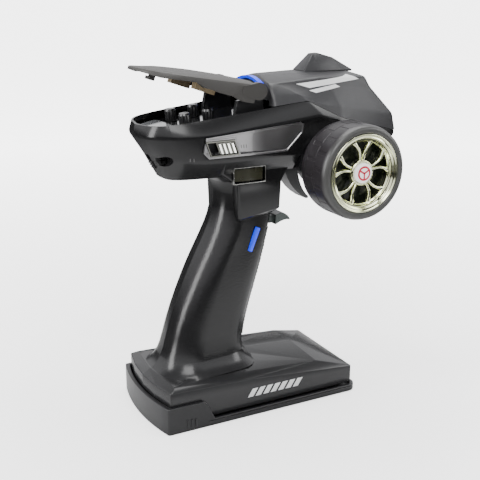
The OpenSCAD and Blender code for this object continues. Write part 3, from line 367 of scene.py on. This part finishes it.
def tyre():
    """The tyre, with shallow pads sunk into both halves of its tread and a groove between them."""
    bm = bmesh.new()
    profile = [(19.9, 39.0), (20.6, 39.0), (21.4, 39.5), (22.2, 40.4), (22.9, 41.8), (23.5, 43.6), (23.85, 45.6),
               (23.9, 46.2), (23.9, 53.0), (23.9, 54.0), (23.9, 60.4), (23.85, 61.0), (23.6, 62.0), (23.2, 63.0),
               (22.7, 63.6), (21.9, 63.9), (20.9, 63.95), (20.3, 63.8), (19.95, 63.4)]
    revolve(bm, profile, TYRE_STEPS)
    rear, front = [], []
    for f in bm.faces:
        c = f.calc_center_median()
        step = int(round(math.degrees(math.atan2(c.y, c.x)) / (360 / TYRE_STEPS) - 0.5)) % 8
        if math.hypot(c.x, c.y) < TREAD_R or not TREAD_BACK < c.z < TREAD_FRONT:
            continue
        if c.z < GROOVE_FRONT and (c.z > GROOVE_BACK or step in (0, 1)):
            rear.append(f)
        if c.z > GROOVE_FRONT and step in (4, 5):
            front.append(f)
    bmesh.ops.inset_region(bm, faces=rear + front, thickness=PAD_EDGE, depth=-PAD_DEPTH, use_even_offset=True)
    bm.transform(TO_WHEEL)
    finish_piece("tyre_look", bm, TYRE, "steering_wheel", ("wheel_tyre",), sharp=30)


# A spoke's sections from hub to rim: radius, turn from the pair's middle, half width, back, ridge
SPOKE_SECTIONS = (
    (5.6, 8.5, 0.75, 58.9, 60.7), (8.0, 7.6, 0.72, 58.9, 61.1), (10.6, 8.6, 0.75, 58.9, 61.3),
    (12.6, 11.8, 0.85, 58.9, 61.4), (14.2, 15.6, 1.0, 58.9, 61.4), (16.2, 18.4, 1.7, 58.9, 61.2),
)


def spoke(angle, side):
    """A ridged bar that leaves the hub beside its twin and curves away from it near the rim."""
    bm = bmesh.new()
    end = None
    for r, turn, half, low, high in SPOKE_SECTIONS:
        a = angle + side * math.radians(turn)
        c = Vector((r * math.cos(a), r * math.sin(a), 0))
        across = Vector((-math.sin(a), math.cos(a), 0))
        outline = ((-1, low), (-1, high - 0.7), (-0.45, high - 0.1), (0.0, high), (0.45, high - 0.1),
                   (1, high - 0.7), (1, low))
        section = [c + across * half * k + Vector((0, 0, z)) for k, z in outline]
        if end is None:
            hub_end = end = bm.faces.new([bm.verts.new(p) for p in section])
            continue
        made = bmesh.ops.extrude_face_region(bm, geom=[end])["geom"]
        if end is not hub_end:
            bm.faces.remove(end)
        end = next(g for g in made if isinstance(g, bmesh.types.BMFace))
        for v, p in zip(end.verts, section):
            v.co = p
    bmesh.ops.recalc_face_normals(bm, faces=bm.faces)
    return bm


def rim():
    """The plated rim: a stepped ring, five pairs of spokes, and a hub ring with beads."""
    bm = bmesh.new()
    profile = [(18.2, 41.0), (19.7, 41.0), (19.7, 62.4), (19.78, 63.3), (19.6, 63.7), (19.3, 63.8), (19.0, 63.65),
               (18.85, 63.2), (18.6, 63.0), (18.2, 63.1), (17.9, 63.25), (17.6, 63.1), (17.45, 62.6), (17.2, 62.3),
               (16.8, 62.35), (16.5, 62.4), (16.3, 62.1), (16.15, 61.5), (15.9, 61.15), (15.6, 60.9), (15.45, 60.3),
               (15.4, 59.6), (15.7, 59.2), (18.2, 58.8)]
    revolve(bm, profile, 128)
    for i in range(SPOKE_PAIRS):
        for side in (-1, 1):
            merge_into(bm, spoke(math.radians(90 + 360 / SPOKE_PAIRS * i), side))
    hub = bmesh.new()
    revolve(hub, [(5.2, 58.6), (6.6, 58.6), (6.6, 60.5), (6.45, 61.1), (6.0, 61.5), (5.6, 61.6), (5.25, 61.4)], 64)
    merge_into(bm, hub)
    for i in range(BEADS):
        made = bmesh.ops.create_icosphere(bm, subdivisions=1, radius=BEAD_R)["verts"]
        a = math.tau * i / BEADS
        bmesh.ops.translate(bm, verts=made, vec=(BEAD_CIRCLE * math.cos(a), BEAD_CIRCLE * math.sin(a), 61.65))
    bm.transform(TO_WHEEL)
    finish_piece("rim_look", bm, RIM, "steering_wheel", ("wheel_rim",), sharp=50)


def cap():
    """The domed white cap, with a plain ring and three bars on it."""
    bm = bmesh.new()
    dome = [(0, 61.0), (5.05, 61.0), (5.05, 62.0), (4.85, 62.45), (4.3, 62.7), (3.0, 62.9), (1.5, 62.98), (0, 63.0)]
    revolve(bm, dome, 64, closed=False)
    bm.transform(TO_WHEEL)
    finish_piece("cap_look", bm, CAP_WITH_PAINTED_GLOW, "steering_wheel", ("wheel_cap",), sharp=50)
    bm = bmesh.new()
    revolve(bm, [(2.7, 62.8), (3.7, 62.7), (3.7, 62.86), (3.5, 62.93), (2.9, 63.0), (2.7, 62.96)], 48)
    for i in range(3):
        made = bmesh.ops.create_cube(bm, size=1.0)["verts"]
        bmesh.ops.scale(bm, verts=made, vec=(2.8, 0.9, 0.2))
        bmesh.ops.translate(bm, verts=made, vec=(1.4, 0, 62.94))
        turn = Matrix.Rotation(math.radians(30 + 120 * i), 3, "Z")
        bmesh.ops.rotate(bm, verts=made, cent=(0, 0, 0), matrix=turn)
    bm.transform(TO_WHEEL)
    finish_piece("cap_mark", bm, RED, "steering_wheel", sharp=40)


tyre()
rim()
cap()

# ---------------------------------------------------------------- the side switch, the rocker and the trims
# From the side switch's own place, with Z out of the head's side, to the frame
ON_SIDE = (Matrix.Scale(MM, 4) @ Matrix.Translation((0, -26.4, 140.4))
           @ Matrix.Rotation(math.radians(95.7), 4, "X") @ Matrix.Translation((0, -8.4, 0)))
TRIM_FACE_AREA = 2e-4    # the outer faces of a trim are larger than this, in square metres
TRIM_BORDER, TRIM_STEP, TRIM_DEPTH = 0.75, 0.3, 0.28
SLIDER_BLOCK_TOP = 0.6
ROCKER_X, ROCKER_Z = -4.0, 130.8
ROCKER_OPENING = (8.98, 3.98)


def trim(node, side):
    """A graphite inlay with a raised border round a slightly lower field."""
    bm = copy_of(node)
    outward = [f for f in bm.faces if f.normal.y * side > 0.9 and f.calc_area() > TRIM_FACE_AREA]
    bmesh.ops.inset_region(bm, faces=outward, thickness=TRIM_BORDER * MM, depth=0)
    bmesh.ops.inset_region(bm, faces=outward, thickness=TRIM_STEP * MM, depth=-TRIM_DEPTH * MM)
    finish_piece(node + "_look", bm, TRIM, BODY_OF[node], (node,), bevel=0.12, sharp=25)


def slider():
    """The side switch: bright ribs on a dark plated block."""
    bm = copy_of("side_slider")
    to_side = ON_SIDE.inverted()
    ob = finish_piece("side_slider_look", bm, CHROME, "side_slider", ("side_slider",), bevel=0.15)
    ob.data.materials.append(DARK_CHROME)
    for f in ob.data.polygons:
        top = max((to_side @ ob.data.vertices[i].co).z for i in f.vertices)
        f.material_index = 1 if top < SLIDER_BLOCK_TOP else 0


def rocker_rim():
    """The plated frame round the rocker, with its opening widened so that the frame is thin."""
    bm = copy_of("button_bezel")
    for v in bm.verts:
        x, z = v.co.x / MM - ROCKER_X, v.co.z / MM - ROCKER_Z
        if abs(x) < 8.7 and abs(z) < 3.7:
            v.co.x = (ROCKER_X + math.copysign(ROCKER_OPENING[0], x)) * MM
            v.co.z = (ROCKER_Z + math.copysign(ROCKER_OPENING[1], z)) * MM
    finish_piece("button_bezel_look", bm, CHROME, "chassis", ("button_bezel",), bevel=0.1)


def round_edges(bm, edges, width, steps):
    bmesh.ops.bevel(bm, geom=edges, offset=width * MM, offset_type="OFFSET", segments=steps, profile=0.5,
                    affect="EDGES", clamp_overlap=True, material=-1)


CORNER = math.radians(32)
SHORT_EDGE = 0.8
BLOCK_ROUND, BRIM_ROUND = 1.3, 0.35


def soft_shell(node, side):
    """A shell with the block that carries the rocker blended softly into the grip, and a rounded rim."""
    bm = copy_of(node)
    block, brim = [], []
    for e in bm.edges:
        if len(e.link_faces) != 2 or e.calc_face_angle(0) < CORNER or e.calc_length() < SHORT_EDGE * MM:
            continue
        x, y, z = (e.verts[0].co + e.verts[1].co) / 2 / MM
        if -20 < x < 20 and y * side > 15.5 and 103 < z < 127.5:
            block.append(e)
        elif z > 156 and x < 30 and abs(y) > 3:
            brim.append(e)
    round_edges(bm, block, BLOCK_ROUND, 4)
    round_edges(bm, [e for e in brim if e.is_valid], BRIM_ROUND, 2)
    finish_piece(node + "_look", bm, BLACK, "chassis", (node,), sharp=34)


# From the control deck's own place, sloped up to the front, to the frame, and from the closed lid on it to
# the lid as it rests, open
DECK_HEIGHT, DECK_SLOPE = 164.64, math.atan(0.11)
HINGE_X, HINGE_UP = 0.5, 8.9
LID_OPEN = math.radians(25.5)
ON_DECK = (Matrix.Scale(MM, 4) @ Matrix.Translation((0, 0, DECK_HEIGHT))
           @ Matrix.Rotation(-DECK_SLOPE, 4, "Y"))
ON_LID = (ON_DECK @ Matrix.Translation((HINGE_X, 0, HINGE_UP)) @ Matrix.Rotation(LID_OPEN, 4, "Y")
          @ Matrix.Translation((-HINGE_X, 0, -HINGE_UP)))
SKIRT_REAR, SKIRT_FRONT, SKIRT_ARCH = -50, -6, 2.4
REST_DROP = 1.4
PLATE_LOW, PLATE_THICK = -3.62, 0.35


def lid():
    """The lid, with the lower edge of its sides arched up so that the blocks under it show."""
    bm = copy_of("lid")
    to_lid = ON_LID.inverted()
    for v in bm.verts:
        p = to_lid @ v.co
        if SKIRT_REAR < p.x < SKIRT_FRONT and p.z < 1.6:
            p.z += SKIRT_ARCH * math.sin(math.pi * (p.x - SKIRT_REAR) / (SKIRT_FRONT - SKIRT_REAR))
            v.co = ON_LID @ p
    finish_piece("lid_look", bm, LID, "lid", ("lid",), sharp=34)


def rest_blocks():
    """The blocks under the lid, a little deeper than the shape they replace."""
    bm = copy_of("lid_rest")
    to_lid = ON_LID.inverted()
    for v in bm.verts:
        p = to_lid @ v.co
        if p.z < 2.0:
            p.z -= REST_DROP
            v.co = ON_LID @ p
    finish_piece("lid_rest_look", bm, TAN, "lid", ("lid_rest",), bevel=0.3)


def status_plate():
    """The glossy plate in the rear part of the panel, round the status lights, coloured light grey as a painted
    reflection.
    """
    bm = bmesh.new()
    half = [(-55.6, 4.5), (-53.6, 9.5), (-50.0, 13.5), (-45.0, 15.6), (-41.8, 16.2), (-40.6, 12.0), (-40.6, 0.0)]
    outline = half + [(x, -y) for x, y in reversed(half[:-1])]
    face = bm.faces.new([bm.verts.new((x, y, PLATE_LOW)) for x, y in outline])
    made = bmesh.ops.extrude_face_region(bm, geom=[face])["geom"]
    top = [g for g in made if isinstance(g, bmesh.types.BMVert)]
    bmesh.ops.translate(bm, verts=top, vec=(0, 0, PLATE_THICK))
    bmesh.ops.recalc_face_normals(bm, faces=bm.faces)
    bm.transform(ON_DECK)
    finish_piece("status_plate", bm, WINDOW_PAINTED_REFLECTION, "chassis", bevel=0.1)


RIB_PITCH, RIB_DEPTH = 0.9, 0.5


def ribbed_strip():
    """The soft strip in front of the grip, cut into fine cross ribs."""
    bm = copy_of("front_grip")
    pitch = RIB_PITCH * MM
    low = min(v.co.z for v in bm.verts)
    count = int((max(v.co.z for v in bm.verts) - low) / pitch)
    for k in range(1, count):
        bmesh.ops.bisect_plane(bm, geom=bm.verts[:] + bm.edges[:] + bm.faces[:],
                               plane_co=(0, 0, low + k * pitch), plane_no=(0, 0, 1))
    for v in bm.verts:
        k = (v.co.z - low) / pitch
        cut = round(k)
        if abs(k - cut) < 0.02 and cut % 2 and 0 < cut < count:
            v.co.x -= RIB_DEPTH * MM
    finish_piece("front_grip_look", bm, RUBBER, "chassis", ("front_grip",), sharp=20)


COVER_HALF_W = 32.0


def cover_ribs():
    """Raised finger ribs on the right of the cover's end cap, and a fine rail along that side."""
    bars = [(x, x + 1.0, 2.2, 6.8) for x in (-47.0, -44.6, -42.2)] + [(-34.0, 56.0, 2.5, 2.9)]
    bm = bmesh.new()
    for x0, x1, z0, z1 in bars:
        made = bmesh.ops.create_cube(bm, size=1.0)["verts"]
        bmesh.ops.scale(bm, verts=made, vec=(x1 - x0, 1.2, z1 - z0))
        bmesh.ops.translate(bm, verts=made, vec=((x0 + x1) / 2, -(COVER_HALF_W - 0.1), (z0 + z1) / 2))
    bm.transform(Matrix.Scale(MM, 4))
    finish_piece("cover_ribs", bm, COVER, "battery_cover", bevel=0.18)


soft_shell("right_shell", -1)
soft_shell("left_shell", 1)
lid()
rest_blocks()
status_plate()
ribbed_strip()
cover_ribs()
trim("right_side_trim", -1)
trim("left_side_trim", 1)
slider()
rocker_rim()

# ---------------------------------------------------------------- pieces that keep the CAD shape, softened
for node, kw in {
    "hood": dict(sharp=30),
    "antenna_fin": dict(sharp=50),
    "lid_latch": dict(bevel=0.2),
    "battery_cover": dict(bevel=0.35),
    "switch_bezel": dict(bevel=0.18),
    "rocker_button": dict(bevel=0.12, sharp=15),
    "finger_rest": dict(bevel=0.4, sharp=30),
    "trigger": dict(bevel=0.4),
    "hinge_brackets": dict(bevel=0.2),
    "power_slider": dict(bevel=0.1),
    "steering_housing": dict(bevel=0.3, sharp=30),
    "panel_window": dict(bevel=0.1),
    "control_panel": dict(sharp=30),
    "hood_light": dict(sharp=30),
    "right_grip_light": dict(bevel=0.3),
    "left_grip_light": dict(bevel=0.3),
    **{f"knob_{i}": dict(bevel=0.15, sharp=30) for i in range(1, 5)},
}.items():
    soften(node, **kw)

for node, ob in NODES.items():
    ob.data.materials.clear()
    ob.data.materials.append(finish_of(node))

# ---------------------------------------------------------------- floor, light, camera
WHITE_SHEET = (0.93, 0.93, 0.93)
DARK_SHEET = (0.09, 0.09, 0.09)
CARD = (0.20, -0.39)
bpy.ops.mesh.primitive_plane_add(size=60, location=(0, 0, 0))
floor = bpy.context.object
floor.name = "floor"
floor_mat = bpy.data.materials.new("floor")
floor_mat.use_nodes = True
floor_shader = floor_mat.node_tree.nodes["Principled BSDF"]
floor_shader.inputs["Roughness"].default_value = 0.9
floor_shader.inputs["Specular IOR Level"].default_value = 0.0
floor_shader.inputs["Emission Color"].default_value = (1, 1, 1, 1)
fn = floor_mat.node_tree
floor_ray = fn.nodes.new("ShaderNodeLightPath")
floor_spot = fn.nodes.new("ShaderNodeTexCoord")


def reach(x, y):
    """Distance on the floor from a point."""
    away = fn.nodes.new("ShaderNodeVectorMath")
    away.operation = "DISTANCE"
    away.inputs[1].default_value = (x, y, 0)
    link(fn, floor_spot.outputs["Object"], away.inputs[0])
    return away.outputs["Value"]


def for_ray(kind, value):
    """A value that only one kind of ray sees."""
    return math_node(fn, "MULTIPLY", floor_ray.outputs[kind], value)


# The sheet turns white away from the object, and reflections find it darker, with one bright card on it
seen = for_ray("Is Camera Ray", ramp(fn, reach(0, 0), 1.6, 4.5, 0.12, 0.8))
card = for_ray("Is Glossy Ray", ramp(fn, reach(*CARD), 4.0, 0.0, 0.05, 0.10))
link(fn, math_node(fn, "ADD", seen, card), floor_shader.inputs["Emission Strength"])
dark = for_ray("Is Glossy Ray", ramp(fn, reach(0.02, -0.03), 0.1, 1.0, 0.1, 0.32))
link(fn, tint(fn, dark, WHITE_SHEET, DARK_SHEET), floor_shader.inputs["Base Color"])
floor.data.materials.append(floor_mat)

# The studio's walls: brightness by height for reflections, an even grey for light, white where they are seen
WALL_BANDS = ((0.0, 0.05), (0.08, 0.1), (0.2, 1.3), (0.55, 1.5), (0.75, 0.3), (1.0, 0.2))
WALL_LIGHT = (0.30, 0.30, 0.31)
WALL_SEEN = (4.5, 4.5, 4.5)
world = bpy.data.worlds.new("studio")
bpy.context.scene.world = world
world.use_nodes = True
wn = world.node_tree
walls = wn.nodes["Background"]
path = wn.nodes.new("ShaderNodeLightPath")
sky = wn.nodes.new("ShaderNodeTexCoord")
sky_parts = wn.nodes.new("ShaderNodeSeparateXYZ")
link(wn, sky.outputs["Generated"], sky_parts.inputs[0])
bands = wn.nodes.new("ShaderNodeValToRGB")
for i, (at, level) in enumerate(WALL_BANDS):
    stop = bands.color_ramp.elements[i] if i < 2 else bands.color_ramp.elements.new(at)
    stop.position = at
    stop.color = (level, level, level * 1.02, 1)
link(wn, sky_parts.outputs["Z"], bands.inputs["Fac"])
mirrored = wn.nodes.new("ShaderNodeMix")
mirrored.data_type = "RGBA"
link(wn, path.outputs["Is Glossy Ray"], mirrored.inputs[0])
mirrored.inputs[6].default_value = (*WALL_LIGHT, 1)
link(wn, bands.outputs["Color"], mirrored.inputs[7])
shown = wn.nodes.new("ShaderNodeMix")
shown.data_type = "RGBA"
link(wn, path.outputs["Is Camera Ray"], shown.inputs[0])
link(wn, mirrored.outputs[2], shown.inputs[6])
shown.inputs[7].default_value = (*WALL_SEEN, 1)
link(wn, shown.outputs[2], walls.inputs["Color"])


def lamp(name, place, size, power, size_y=None):
    """A soft box aimed at the middle of the object, in metres and watts."""
    data = bpy.data.lights.new(name, "AREA")
    data.energy = power
    data.size = size
    if size_y:
        data.shape = "RECTANGLE"
        data.size_y = size_y
    ob = bpy.data.objects.new(name, data)
    bpy.context.scene.collection.objects.link(ob)
    ob.location = place
    ob.rotation_euler = (Vector(AIM) - Vector(place)).to_track_quat("-Z", "Y").to_euler()
    ob.visible_camera = False


AIM = (0.01, 0, 0.1)
lamp("key", (-0.35, -0.6, 0.85), 0.5, 6)
lamp("top", (0.15, 0.1, 1.0), 0.8, 12)
lamp("right", (0.75, -0.45, 0.35), 0.25, 2.5, 0.6)
lamp("left", (-0.8, 0.1, 0.35), 0.3, 5, 0.6)

# The view from the right and a little behind, slightly above the head
camera_data = bpy.data.cameras.new("camera")
camera_data.sensor_width = 36
camera_data.lens = 64.43
camera_data.clip_start = 0.01
camera = bpy.data.objects.new("camera", camera_data)
bpy.context.scene.collection.objects.link(camera)
camera.location = (-0.2070, -0.4011, 0.2270)
camera.rotation_euler = Vector((0.44005, 0.84967, -0.29054)).to_track_quat("-Z", "Y").to_euler()
bpy.context.scene.camera = camera
